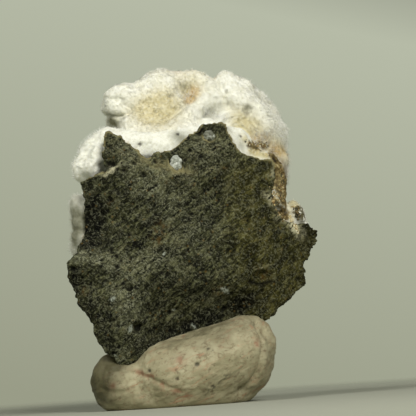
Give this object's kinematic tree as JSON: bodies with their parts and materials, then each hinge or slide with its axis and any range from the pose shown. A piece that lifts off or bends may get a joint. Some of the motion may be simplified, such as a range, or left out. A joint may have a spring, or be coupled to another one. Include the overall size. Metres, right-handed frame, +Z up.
{
  "type": "okenite puffball mineral specimen",
  "caption": "Ball of matted white okenite fibres in the crusted hollow of a dark basalt shard, standing in a folded lump of display putty.",
  "frame": {"origin": "on the flat underside of the putty, under the specimen's middle", "axes": "+Z up; +Y away from a viewer of the shard's broken face; +X to that viewer's right"},
  "size_m": [0.0634, 0.0558, 0.0874],
  "materials": {
    "basalt": "matte",
    "okenite": "matte",
    "crust": "satin",
    "crystal": "satin",
    "putty": "matte"
  },
  "bodies": {
    "root": {"basalt_matrix": "basalt", "okenite_puffball": "okenite", "vug_crust": "crust", "amygdale_upper": "crystal", "amygdale_peak": "crystal", "mounting_putty": "putty"}
  },
  "joints": []
}
